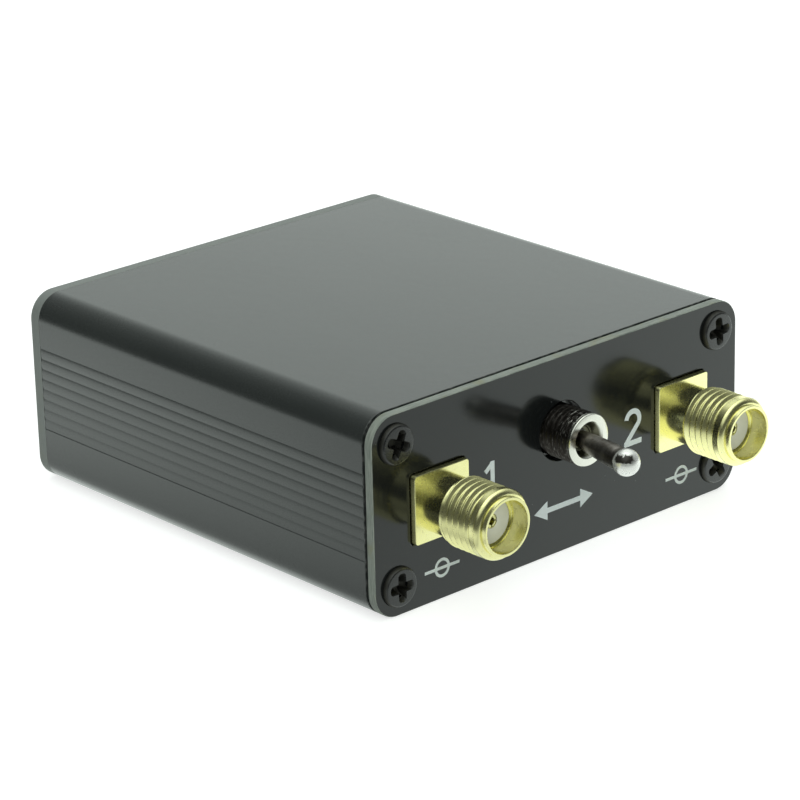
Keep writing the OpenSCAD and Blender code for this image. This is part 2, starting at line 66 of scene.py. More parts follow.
# What glows in the room: its direction, the cosines to it between which it rises, its level
ROOM_GLOWS = (
    (BACKDROP.normalized(), 0.1, 0.5, 0.25),
    (BACKDROP.normalized(), 0.68, 0.95, 0.9),
    (Vector((0.3, 0.15, 1)), 0.80, 0.96, 0.85),
    (Vector((-0.5, -0.25, 0.8)).normalized(), 0.84, 0.92, 0.7),
)
LIGHT_TINT = (0.92, 1.0, 0.955, 1)
WHITE = (1, 1, 1, 1)
SOFTBOX_WIDTH = 1.0
SOFTBOX_PLACE = Vector((-0.15, -0.1, 1.0))
SOFTBOX_POWER = 2.0
FILL_WIDTH = 0.5
FILL_PLACE = Vector((-0.35, -0.5, 0.3))
FILL_POWER = 2.0
TABLE_LEFT = -0.075
TABLE_REACH = 1.5
TABLE_Z = -0.05
TABLE_WHITE = (0.66, 0.66, 0.66, 1)
TABLE_LIFT = 0.67
# How bright gloss shows the table, as painted light: its far level, what each step towards the
# sweep adds, and a painted shadow of the case in a strip on the left, beside it. Places are in
# metres.
FAR_LEVEL = 0.1
TABLE_GLOWS = ((-0.080, -0.060, 0.72), (-0.043, 0.004, 0.72))
CONTACT_FROM = (-0.032, -0.0235)
CONTACT_TO = (-0.0226, -0.0225)
CONTACT_SHADE = 0.4


class Wire:
    """A socket that gives a value. Maths on it adds Math nodes to its tree."""

    def __init__(self, tree, socket):
        self.tree = tree
        self.socket = socket

    def math(self, operation, *values, clamp=False):
        """One Math node on these values."""
        node = self.tree.nodes.new("ShaderNodeMath")
        node.operation = operation
        node.use_clamp = clamp
        for socket, value in zip(node.inputs, values):
            feed(self.tree, socket, value)
        return Wire(self.tree, node.outputs[0])

    def __add__(self, other):
        return self.math("ADD", self, other)

    def __radd__(self, other):
        return self.math("ADD", other, self)

    def __sub__(self, other):
        return self.math("SUBTRACT", self, other)

    def __rsub__(self, other):
        return self.math("SUBTRACT", other, self)

    def __mul__(self, other):
        return self.math("MULTIPLY", self, other)

    def __rmul__(self, other):
        return self.math("MULTIPLY", other, self)

    def __truediv__(self, other):
        return self.math("DIVIDE", self, other)

    def __rtruediv__(self, other):
        return self.math("DIVIDE", other, self)

    def __abs__(self):
        return self.math("ABSOLUTE", self)

    def clamp(self):
        """Held between 0 and 1."""
        return self.math("ADD", self, 0.0, clamp=True)

    def rise(self, low, high):
        """0 up to low, 1 from high on, with a straight ramp between them."""
        return ((self - low) / (high - low)).clamp()


def feed(tree, socket, value):
    """Gives a socket a plain value, or links a Wire to it."""
    if isinstance(value, Wire):
        tree.links.new(value.socket, socket)
    else:
        socket.default_value = value


class Tree:
    """A node tree filled from Python, for a finish, the world or a shape."""

    def __init__(self, tree):
        self.tree = tree
        tree.nodes.clear()

    def node(self, kind, settings={}, sockets={}, out=0):
        """Adds a node: its settings first, then its sockets, each a value or a Wire."""
        node = self.tree.nodes.new(kind)
        for name, value in settings.items():
            setattr(node, name, value)
        for name, value in sockets.items():
            feed(self.tree, node.inputs[name], value)
        return Wire(self.tree, node.outputs[out]) if len(node.outputs) else None

    def blend(self, factor, first, second):
        """A colour between first and second."""
        colours = {0: factor, 6: first, 7: second}
        return self.node("ShaderNodeMix", {"data_type": "RGBA"}, colours, 2)

    def axes(self, vector):
        """The three parts of a vector, each a Wire."""
        node = self.tree.nodes.new("ShaderNodeSeparateXYZ")
        feed(self.tree, node.inputs[0], vector)
        return [Wire(self.tree, socket) for socket in node.outputs]

    def dot(self, vector, way):
        """How far a vector goes along a fixed way."""
        settings = {"operation": "DOT_PRODUCT"}
        return self.node("ShaderNodeVectorMath", settings, {0: vector, 1: way}, "Value")


world = bpy.data.worlds.new("studio_room")
bpy.context.scene.world = world
world.use_nodes = True
room = Tree(world.node_tree)
direction = room.node("ShaderNodeTexCoord")
level = ROOM_LEVEL
for way, dim, full, share in ROOM_GLOWS:
    level = level + room.dot(direction, way).rise(dim, full) * share
seen = room.node("ShaderNodeLightPath", out="Is Camera Ray")
shown = room.node("ShaderNodeMix", {"data_type": "FLOAT"}, {0: seen, 2: level, 3: 1.0})
tint = room.blend(seen, LIGHT_TINT, WHITE)
glow = room.node("ShaderNodeBackground", {}, {"Color": tint, "Strength": shown})
room.node("ShaderNodeOutputWorld", {}, {"Surface": glow})


def lamp(name, place, width, power):
    """A square lamp that faces the origin."""
    light = bpy.data.lights.new(name, "AREA")
    light.shape = "SQUARE"
    light.size = width
    light.energy = power
    light.color = LIGHT_TINT[:3]
    obj = bpy.data.objects.new(name, light)
    turned = place.to_track_quat("Z", "Y").to_matrix().to_4x4()
    obj.matrix_world = Matrix.Translation(place) @ turned
    bpy.context.scene.collection.objects.link(obj)
    return obj


lamp("overhead_softbox", SOFTBOX_PLACE, SOFTBOX_WIDTH, SOFTBOX_POWER)
# Gloss doesn't show the fill
lamp("fill", FILL_PLACE, FILL_WIDTH, FILL_POWER).visible_glossy = False

table_mesh = bpy.data.meshes.new("table")
table_corners = [(x, y, TABLE_Z * MM) for x, y in (
    (TABLE_LEFT, -TABLE_REACH), (TABLE_REACH, -TABLE_REACH),
    (TABLE_REACH, TABLE_REACH), (TABLE_LEFT, TABLE_REACH),
)]
table_mesh.from_pydata(table_corners, [], [(0, 1, 2, 3)])
table = bpy.data.objects.new("table", table_mesh)
bpy.context.scene.collection.objects.link(table)
table_paint = bpy.data.materials.new("white_table")
table_paint.use_nodes = True
paint = Tree(table_paint.node_tree)
paper = paint.node("ShaderNodeBsdfDiffuse", {}, {"Color": TABLE_WHITE})
seen = paint.node("ShaderNodeLightPath", out="Is Camera Ray")
glow = paint.node("ShaderNodeEmission", {}, {"Color": WHITE, "Strength": seen * TABLE_LIFT})
paper = paint.node("ShaderNodeAddShader", {}, {0: paper, 1: glow})
across, along, _ = paint.axes(paint.node("ShaderNodeTexCoord", out="Object"))
inward = across * BACKDROP.x + along * BACKDROP.y
table_level = FAR_LEVEL
for dim, full, share in TABLE_GLOWS:
    table_level = table_level + inward.rise(dim, full) * share
# Painted shadow of the case on the table, seen only in gloss: a darker strip on its left
contact_shadow_of_case = (1 - across.rise(*CONTACT_TO)) * across.rise(*CONTACT_FROM)
table_level = table_level * (1 - contact_shadow_of_case * CONTACT_SHADE)
glow = paint.node("ShaderNodeEmission", {}, {"Color": LIGHT_TINT, "Strength": table_level})
seen = paint.node("ShaderNodeLightPath", out="Is Glossy Ray")
top = paint.node("ShaderNodeMixShader", {}, {0: seen, 1: paper, 2: glow})
paint.node("ShaderNodeOutputMaterial", {}, {"Surface": top})
table_mesh.materials.append(table_paint)

camera = bpy.data.cameras.new("photographer")
camera.lens = 157.78
camera.sensor_width = 36
camera_right = Vector((0.73796865, -0.67444105, -0.02305548))
camera_up = Vector((0.25454747, 0.24655801, 0.93510146))
camera_back = Vector((-0.62498629, -0.69594427, 0.35362934))
camera_place = Vector((-203.106, -228.574, 123.679)) * MM
stand = bpy.data.objects.new("photographer", camera)
turned = Matrix((camera_right, camera_up, camera_back)).transposed().to_4x4()
stand.matrix_world = Matrix.Translation(camera_place) @ turned
bpy.context.scene.collection.objects.link(stand)
bpy.context.scene.camera = stand
bpy.context.scene.view_settings.view_transform = "Standard"


# Case -------------------------------------------------------------------------
# A length of black anodised aluminium extrusion, sawn at both ends. Grip ribs run along
# its side walls, and rails and screw channels along the inside.

CASE_HALF_W = 22.5
CASE_H = 18.5
CASE_END = 22.5
CASE_CORNER = 2.5
CASE_WALL = 1.5
CORNER_STEPS = 14
# Each sawn end's broken edge, from the end inwards: (along the case, into the wall)
SAWN_EDGE = ((0, 0.05), (0.015, 0.015), (0.05, 0))
RUBBED_L = 0.08
RIB_R = 2.4
RIB_PITCH = 1.0
RIB_COUNT = 8
RIB_MIDDLE = 9.42
RIB_LEAD = 0.04
SCREW_X = 19.8
SCREW_LOW = 2.7
SCREW_HIGH = 15.8
SCREW_SPOTS = [(x, z) for x in (-SCREW_X, SCREW_X) for z in (SCREW_LOW, SCREW_HIGH)]
CHANNEL_R = 2.3
PILOT_R = 0.95
RAIL_X = 20.2
RAIL_LOW = 6.35
RAIL_HIGH = 9.8
SLOT_X = 21.6
SLOT_LOW = 7.25
SLOT_HIGH = 8.9
SHARP_TURN = 32


def arc(x, z, r, start, end, steps):
    """Points on an arc in the front view, from start to end degrees."""
    angles = [math.radians(start + (end - start) * i / steps) for i in range(steps + 1)]
    return [(x + r * math.cos(a), z + r * math.sin(a)) for a in angles]


def circle(x, z, r, steps=48):
    """A closed loop round x, z."""
    return arc(x, z, r, 0, 360, steps)[:-1]


def mirrored(half):
    """A closed loop from its right half, which runs from the bottom to the top."""
    return half + [(-x, z) for x, z in reversed(half)]


def rounded(half_width, low, high, corner, steps):
    """A rectangle with round corners, half_width to both sides of the middle."""
    x = half_width - corner
    return mirrored(
        arc(x, low + corner, corner, -90, 0, steps) + arc(x, high - corner, corner, 0, 90, steps)
    )


def grown(loop, e):
    """The loop moved into its material by e. Material lies on the left of its run."""
    out = []
    for i, (x, z) in enumerate(loop):
        (xa, za), (xb, zb) = loop[i - 1], loop[(i + 1) % len(loop)]
        ax, az = x - xa, z - za
        bx, bz = xb - x, zb - z
        la, lb = math.hypot(ax, az), math.hypot(bx, bz)
        nx, nz = -az / la - bz / lb, ax / la + bx / lb
        size = max((nx * nx + nz * nz) / 2, 0.3)
        out.append((x + e * nx / size, z + e * nz / size))
    return out


def solid_loops(outer, holes):
    """The outer loop run anticlockwise and the holes clockwise."""
    def area(loop):
        return sum(a[0] * b[1] - b[0] * a[1] for a, b in zip(loop, loop[1:] + loop[:1]))
    loops = [outer if area(outer) > 0 else outer[::-1]]
    return loops + [hole if area(hole) < 0 else hole[::-1] for hole in holes]


def sawn(bm, loops, stations):
    """Walls through the stations, each (y, edge), with a flat cap on both ends. Gives the walls."""
    rings = []
    for y, e in stations:
        ring = []
        for loop in loops:
            ring.append([bm.verts.new((x * MM, y * MM, z * MM)) for x, z in grown(loop, e)])
        rings.append(ring)
    walls = []
    for near, far in zip(rings, rings[1:]):
        for a, b in zip(near, far):
            for i in range(len(a)):
                walls.append(bm.faces.new((a[i - 1], a[i], b[i], b[i - 1])))
    for ring in (rings[0], rings[-1]):
        corners = [v for loop in ring for v in loop]
        flat = [[Vector((v.co.x, v.co.z, 0)) for v in loop] for loop in ring]
        for triangle in tessellate_polygon(flat):
            if len(set(triangle)) == 3:
                bm.faces.new([corners[i] for i in triangle])
        for loop in ring:
            for i in range(len(loop)):
                bm.edges.get((loop[i - 1], loop[i])).smooth = False
    return walls


def crease(bm, turn_deg, thread=None):
    """Keeps edges that turn by over turn_deg sharp, except on a thread (least radius, from, to)."""
    for edge in bm.edges:
        if len(edge.link_faces) != 2 or edge.calc_face_angle(0) < math.radians(turn_deg):
            continue
        middle = (edge.verts[0].co + edge.verts[1].co) / 2 / MM
        radius = math.hypot(middle.x, middle.y)
        if thread and radius > thread[0] and thread[1] < middle.z < thread[2]:
            continue
        edge.smooth = False
    for face in bm.faces:
        face.smooth = True


def piece(name, bm, finishes, turn_deg=SHARP_TURN):
    """A finished object from bm, with its faces outwards."""
    bmesh.ops.recalc_face_normals(bm, faces=bm.faces)
    crease(bm, turn_deg)
    mesh = bpy.data.meshes.new(name)
    bm.to_mesh(mesh)
    bm.free()
    for finish in finishes:
        mesh.materials.append(finish)
    obj = bpy.data.objects.new(name, mesh)
    bpy.context.scene.collection.objects.link(obj)
    return obj


class Finish(Tree):
    """A procedural finish on a Principled surface, with patterns in object coordinates."""

    def __init__(self, name):
        self.material = bpy.data.materials.new(name)
        self.material.use_nodes = True
        super().__init__(self.material.node_tree)
        self.place = self.node("ShaderNodeTexCoord", out="Object")

    def stretched(self, *size):
        """The place in units of size millimetres, one for all axes or three."""
        scale = [1000 / length for length in (size if len(size) == 3 else size * 3)]
        return self.node("ShaderNodeMapping", {}, {"Vector": self.place, "Scale": scale})

    def noise(self, *size, detail=3.0):
        """Noise from 0 to 1, with grains of size millimetres, one for all axes or three."""
        sockets = {"Vector": self.stretched(*size), "Scale": 1.0, "Detail": detail}
        return self.node("ShaderNodeTexNoise", {}, {**sockets, "Roughness": 0.55})

    def specks(self, spacing, radius, share):
        """Scattered round specks: one cell of spacing millimetres in share holds one."""
        at = {"Vector": self.stretched(spacing), "Scale": 1.0}
        near = self.node("ShaderNodeTexVoronoi", {}, at)
        lot, size, _ = self.axes(self.node("ShaderNodeTexVoronoi", {}, at, "Color"))
        chosen = lot.math("LESS_THAN", lot, share)
        reach = (size + 0.2) * (radius / spacing)
        return (1 - near / reach).rise(0, 0.4) * chosen

    def bump(self, height, depth):
        """Normals from a height of 0 to 1 that stands for depth millimetres."""
        sockets = {"Height": height, "Distance": depth * MM, "Strength": 1.0}
        return self.node("ShaderNodeBump", {}, sockets)

    def surface(self, **sockets):
        """The material, from the Principled shader's sockets."""
        named = {}
        for key, value in sockets.items():
            named["IOR" if key == "ior" else key.replace("_", " ").title()] = value
        shader = self.node("ShaderNodeBsdfPrincipled", {}, named)
        self.node("ShaderNodeOutputMaterial", {}, {"Surface": shader})
        return self.material


def tone(r, g, b):
    """An opaque colour."""
    return (r, g, b, 1)


anodising = Finish("black_anodising")
die_lines = anodising.noise(0.09, 30, 0.09, detail=2)
grain = anodising.noise(0.05, detail=2)
cloud = anodising.noise(9, 14, 9)
dust = anodising.specks(1.7, 0.05, 0.10)
_, along, _ = anodising.axes(anodising.place)
at_end = abs(along).rise((CASE_END - RUBBED_L) * MM, CASE_END * MM)
rubbed = at_end * anodising.noise(0.6).rise(0.45, 0.7)
skin = anodising.blend(cloud, tone(0.022, 0.025, 0.024), tone(0.030, 0.033, 0.032))
skin = anodising.blend(rubbed * 0.35, skin, tone(0.30, 0.30, 0.29))
skin = anodising.blend(dust * 0.5, skin, tone(0.35, 0.36, 0.35))
case_finish = anodising.surface(
    base_color=skin,
    roughness=0.27 + (grain - 0.5) * 0.08 + (cloud - 0.5) * 0.05 + dust * 0.2,
    normal=anodising.bump(die_lines * 0.6 + grain * 0.4, 0.0015),
    ior=1.6,
)

rib_turn = math.degrees(math.asin(RIB_PITCH / 2 / RIB_R))
rib_foot = CASE_HALF_W - RIB_R + math.sqrt(RIB_R ** 2 - RIB_PITCH ** 2 / 4)
ribs_from = RIB_MIDDLE - RIB_COUNT * RIB_PITCH / 2
ribs_to = ribs_from + RIB_COUNT * RIB_PITCH
corner_x = CASE_HALF_W - CASE_CORNER
outline = arc(corner_x, CASE_CORNER, CASE_CORNER, -90, 0, CORNER_STEPS)
outline += [(CASE_HALF_W, ribs_from - RIB_LEAD), (rib_foot, ribs_from)]
for i in range(RIB_COUNT):
    rib_z = ribs_from + (i + 0.5) * RIB_PITCH
    rib = arc(CASE_HALF_W - RIB_R, rib_z, RIB_R, -rib_turn, rib_turn, 10)
    outline += rib[1:-1] if i == RIB_COUNT - 1 else rib[1:]
outline += [(rib_foot, ribs_to), (CASE_HALF_W, ribs_to + RIB_LEAD)]
outline += arc(corner_x, CASE_H - CASE_CORNER, CASE_CORNER, 0, 90, CORNER_STEPS)

inner_x = CASE_HALF_W - CASE_WALL
channel_turn = math.degrees(math.asin((SCREW_LOW - CASE_WALL) / CHANNEL_R))
hollow = arc(SCREW_X, SCREW_LOW, CHANNEL_R, 180 + channel_turn, 90 - channel_turn, CORNER_STEPS)
hollow += [(inner_x, RAIL_LOW), (RAIL_X, RAIL_LOW), (RAIL_X, SLOT_LOW), (SLOT_X, SLOT_LOW)]
hollow += [(SLOT_X, SLOT_HIGH), (RAIL_X, SLOT_HIGH), (RAIL_X, RAIL_HIGH), (inner_x, RAIL_HIGH)]
hollow += arc(SCREW_X, SCREW_HIGH, CHANNEL_R, channel_turn - 90, -180 - channel_turn, CORNER_STEPS)
pilots = [circle(x, z, PILOT_R, 24) for x, z in SCREW_SPOTS]

bm = bmesh.new()
stations = [(y - CASE_END, e) for y, e in SAWN_EDGE]
stations += [(CASE_END - y, e) for y, e in reversed(SAWN_EDGE)]
sawn(bm, solid_loops(mirrored(outline), [mirrored(hollow)] + pilots), stations)
case = piece("case", bm, [case_finish], turn_deg=20)
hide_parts("case_extrusion")
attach(case, "case")


# Circuit board ----------------------------------------------------------------
# A glass-fibre board with a green coating slides in the case's rails. Copper tracks run
# from the jacks' centre pins to the switch, and solder holds every pin. These keep the CAD
# model's shapes, under finishes of their own. The board's two ends are painted dark, as painted
# shade.

# Painted shade: the board's ends, inside the case, are coloured near black
SHADED_BOARD_ENDS = (21.5 * MM, 22.3 * MM)

coating = Finish("green_board_coating")
bands = {"Vector": coating.stretched(0.5), "Scale": 1.0, "Distortion": 1.5}
weave = coating.node("ShaderNodeTexWave", {"bands_direction": "X"}, bands)
_, along, _ = coating.axes(coating.place)
green = coating.blend(coating.noise(2), tone(0.012, 0.10, 0.035), tone(0.02, 0.15, 0.055))
board_finish = coating.surface(
    base_color=coating.blend(abs(along).rise(*SHADED_BOARD_ENDS), green, tone(0.012, 0.014, 0.012)),
    roughness=0.28 + coating.noise(0.3) * 0.12,
    normal=coating.bump(weave, 0.003),
)

foil = Finish("copper_foil")
copper_finish = foil.surface(
    base_color=foil.blend(foil.noise(0.8), tone(0.72, 0.36, 0.20), tone(0.86, 0.50, 0.32)),
    metallic=1.0,
    roughness=0.28 + foil.noise(0.1) * 0.2,
)

fillet = Finish("bright_solder")
solder_finish = fillet.surface(
    base_color=fillet.blend(fillet.noise(0.5), tone(0.56, 0.57, 0.58), tone(0.76, 0.77, 0.78)),
    metallic=1.0,
    roughness=0.16 + fillet.noise(0.25) * 0.2,
    normal=fillet.bump(fillet.noise(0.3), 0.02),
)


def dress(names, finish):
    """Gives CAD nodes a finish in place of their plain colour."""
    for name in names:
        mesh = nodes[name].data
        mesh.materials.clear()
        mesh.materials.append(finish)


dress(["circuit_board"], board_finish)
dress(["track_common", "track_1", "track_2"], copper_finish)
dress(["solder_joints"], solder_finish)


# Coaxial jacks ----------------------------------------------------------------
# Three alike, turned from brass and plated with pale gold: a square flange with legs that
# straddle the board, a neck, and a barrel with a right-hand thread. An off-white
# insulator holds the slit centre socket.

# Each port's place across the case, its side, and where its thread starts, in degrees
JACK_PLACES = {"port_1": (-15, -1, 150), "port_2": (15, -1, 262), "port_common": (0, 1, 20)}
JACK_Z = 9.25
FLANGE_HALF = 3.175
FLANGE_T = 1.75
FLANGE_CORNER = 0.3
FLANGE_BACK = ((0, 0.04), (0.04, 0))
FLANGE_FRONT = ((FLANGE_T - 0.06, 0), (FLANGE_T - 0.02, 0.02), (FLANGE_T, 0.06))
LEG_T = 1.075
LEG_L = 4.4
LEG_ROOT = 0.2
LEG_HEIGHTS = ((-0.4, 0.8), (-FLANGE_HALF, -2.0))
NECK_R = 2.7
THREAD_R = 3.175
THREAD_PITCH = 0.7056
THREAD_DEPTH = 0.30
THREAD_FROM = 4.5
THREAD_TO = 8.3
THREAD_STEP = 0.03
THREAD_RINGS = 140
SHOULDER = 8.7
RING_FROM = 9.27
MOUTH = 9.77
MOUTH_R = 2.65
BORE_R = 2.35
CORE_FACE = MOUTH - 1.95
CORE_R = 2.04
CORE_HOLE_R = CORE_R + 0.01
SOCKET_R = 0.625
SOCKET_BORE = 0.46
SOCKET_LIP = 0.33
SOCKET_DEPTH = 3
PIN_R = 0.365
PIN_L = 3
SLIT_L = 2.4
SLIT_REACH = 1.2
SLIT_HALF = 0.06
AROUND = 192
# Lays the length of a sawn piece along Z, and turns a piece drawn along Z on its back
LENGTH_ONTO_Z = Matrix(((1, 0, 0, 0), (0, 0, 1, 0), (0, 1, 0, 0), (0, 0, 0, 1)))
ON_ITS_BACK = Matrix.Rotation(math.pi / 2, 4, "X")


def spun(bm, profile, around, closed=True):
    """Turns a profile of (radius, height) about Z. It closes on itself, or on the axis."""
    turns = [2 * math.pi * i / around for i in range(around)]
    rings = []
    for r, z in profile:
        if r == 0:
            rings.append([bm.verts.new((0, 0, z * MM))])
        else:
            spots = [(r * MM * math.cos(a), r * MM * math.sin(a), z * MM) for a in turns]
            rings.append([bm.verts.new(spot) for spot in spots])
    pairs = list(zip(rings, rings[1:])) + ([(rings[-1], rings[0])] if closed else [])
    for a, b in pairs:
        for i in range(around):
            j = i + 1
            corners = [a[i % len(a)], a[j % len(a)], b[j % len(b)], b[i % len(b)]]
            corners = [v for n, v in enumerate(corners) if v not in corners[:n]]
            if len(corners) > 2:
                bm.faces.new(corners)


def eased(profile, radius, steps=3):
    """The profile with each marked corner, (radius, height, True), rounded."""
    out = []
    for i, point in enumerate(profile):
        if len(point) == 2:
            out.append(point)
            continue
        here = Vector(point[:2])
        back = Vector(profile[i - 1][:2]) - here
        on = Vector(profile[(i + 1) % len(profile)][:2]) - here
        r = min(radius, back.length * 0.45, on.length * 0.45)
        a, b = here + back.normalized() * r, here + on.normalized() * r
        for k in range(steps + 1):
            t = k / steps
            out.append(tuple(a * (1 - t) ** 2 + here * 2 * t * (1 - t) + b * t ** 2))
    return out


def join_solids(target, others, operation="UNION", thread=None):
    """Joins or cuts target with the others, which are then gone, and leaves one clean closed mesh.

    Its thread, where it has one, stays smooth: (least radius, from, to)."""
    for other in others:
        change = target.modifiers.new("joint", "BOOLEAN")
        change.operation = operation
        change.solver = "EXACT"
        change.object = other
    settle(target)
    bm = bmesh.new()
    bm.from_mesh(target.data)
    nothing = 0.001 * MM
    bmesh.ops.remove_doubles(bm, verts=bm.verts, dist=nothing)
    bmesh.ops.dissolve_degenerate(bm, edges=bm.edges, dist=nothing)
    bmesh.ops.triangulate(bm, faces=[face for face in bm.faces if len(face.verts) > 4])
    bmesh.ops.holes_fill(bm, edges=[edge for edge in bm.edges if edge.is_boundary], sides=4)
    crease(bm, SHARP_TURN, thread)
    bm.to_mesh(target.data)
    bm.free()
    for other in others:
        bpy.data.objects.remove(other)


def settle(obj):
    """Makes the object's modifiers part of its mesh."""
    bpy.context.view_layer.update()
    shown = obj.evaluated_get(bpy.context.evaluated_depsgraph_get())
    mesh = bpy.data.meshes.new_from_object(shown)
    obj.modifiers.clear()
    old = obj.data
    obj.data = mesh
    bpy.data.meshes.remove(old)
    mesh.name = obj.name


def box(bm, low, high, matrix=Matrix.Identity(4)):
    """A box between two corners, in millimetres."""
    xs, ys, zs = zip(low, high)
    corners = [(x, y, z) for x in xs for y in ys for z in zs]
    v = [bm.verts.new(matrix @ Vector(c) * MM) for c in corners]
    for f in ((0, 1, 3, 2), (4, 6, 7, 5), (0, 4, 5, 1), (2, 3, 7, 6), (0, 2, 6, 4), (1, 5, 7, 3)):
        bm.faces.new([v[i] for i in f])


def facing_out(side):
    """Turns a piece drawn along Z to point out of the front, side -1, or the rear, side 1."""
    return Matrix.Rotation(0 if side < 0 else math.pi, 4, "Z") @ ON_ITS_BACK


class Shaper(Tree):
    """A Geometry Nodes tree with named inputs. It ends as plain mesh in one finish."""

    def __init__(self, name, inputs):
        super().__init__(bpy.data.node_groups.new(name, "GeometryNodeTree"))
        sockets = self.tree.interface
        self.ids = {}
        for label, kind in {"Geometry": "Geometry", **inputs, "Finish": "Material"}.items():
            added = sockets.new_socket(label, in_out="INPUT", socket_type="NodeSocket" + kind)
            self.ids[label] = added.identifier
        sockets.new_socket("Geometry", in_out="OUTPUT", socket_type="NodeSocketGeometry")
        given = self.tree.nodes.new("NodeGroupInput")
        self.given = {label: Wire(self.tree, given.outputs[label]) for label in self.ids}

    def end(self, shaped):
        """Makes instances real, gives them the finish and sends them out."""
        shaped = self.node("GeometryNodeRealizeInstances", {}, {"Geometry": shaped})
        dressed = {"Geometry": shaped, "Material": self.given["Finish"]}
        shaped = self.node("GeometryNodeSetMaterial", {}, dressed)
        self.node("NodeGroupOutput", {}, {"Geometry": shaped})

    def shape(self, obj, values):
        """Runs the tree on the object with these inputs, and keeps the result as its mesh."""
        change = obj.modifiers.new(self.tree.name, "NODES")
        change.node_group = self.tree
        for label, value in values.items():
            change[self.ids[label]] = value
        settle(obj)


# The thread cutter moves points on a barrel inwards along a helix about Z
CUT_LENGTHS = (
    "Pitch", "Depth", "Groove Half", "Floor Half", "Low", "High", "Run Out", "Least Radius",
)
cutter = Shaper("cut_thread", dict.fromkeys(CUT_LENGTHS + ("Start Angle",), "Float"))
cut = cutter.given
px, py, pz = cutter.axes(cutter.node("GeometryNodeInputPosition"))
radius = px.math("SQRT", px * px + py * py)
turned_by = px.math("ARCTAN2", py, px) / (2 * math.pi)
turns = pz / cut["Pitch"] - turned_by + cut["Start Angle"] / (2 * math.pi)
phase = turns.math("FRACT", turns)
off_groove = abs(phase - 0.5) * cut["Pitch"]
flank = cut["Groove Half"] - cut["Floor Half"]
groove = ((cut["Groove Half"] - off_groove) / flank).clamp()
fade = ((cut["High"] - pz) / cut["Run Out"]).clamp()
ratio = (radius - groove * fade * cut["Depth"]) / radius
on_barrel = px.math("GREATER_THAN", radius, cut["Least Radius"])
threaded = on_barrel * px.math("GREATER_THAN", pz, cut["Low"])
moved = cutter.node("ShaderNodeCombineXYZ", {}, {"X": px * ratio, "Y": py * ratio, "Z": pz})
shift = {"Geometry": cut["Geometry"], "Selection": threaded, "Position": moved}
cutter.end(cutter.node("GeometryNodeSetPosition", {}, shift))


def cut_thread(obj, finish, **sizes):
    """Cuts a right-hand thread about Z. Lengths are in millimetres, the start angle in degrees."""
    values = {label: sizes[label.lower().replace(" ", "_")] * MM for label in CUT_LENGTHS}
    values["Start Angle"] = math.radians(sizes["start_angle"])
    cutter.shape(obj, {**values, "Finish": finish})


plating = Finish("pale_gold_plating")
tool_marks = plating.noise(40, 0.035, 40, detail=2)
haze = plating.noise(1.6, detail=4)
stains = plating.noise(0.5).rise(0.58, 0.78)
gold = plating.blend(haze, tone(0.92, 0.88, 0.41), tone(0.97, 0.93, 0.50))
gold_finish = plating.surface(
    base_color=plating.blend(stains * 0.2, gold, tone(0.72, 0.60, 0.23)),
    metallic=1.0,
    roughness=0.22 + haze * 0.08 + stains * 0.08,
    normal=plating.bump(tool_marks, 0.0012),
)

wax = Finish("off_white_insulator")
insulator_finish = wax.surface(
    base_color=wax.blend(wax.noise(0.8), tone(0.80, 0.78, 0.68), tone(0.88, 0.86, 0.77)),
    roughness=0.42 + wax.noise(0.2) * 0.15,
    normal=wax.bump(wax.noise(0.15), 0.004),
)

flange_outline = rounded(FLANGE_HALF, -FLANGE_HALF, FLANGE_HALF, FLANGE_CORNER, 5)
on_thread = (NECK_R + 0.02, THREAD_FROM, SHOULDER + 0.25)

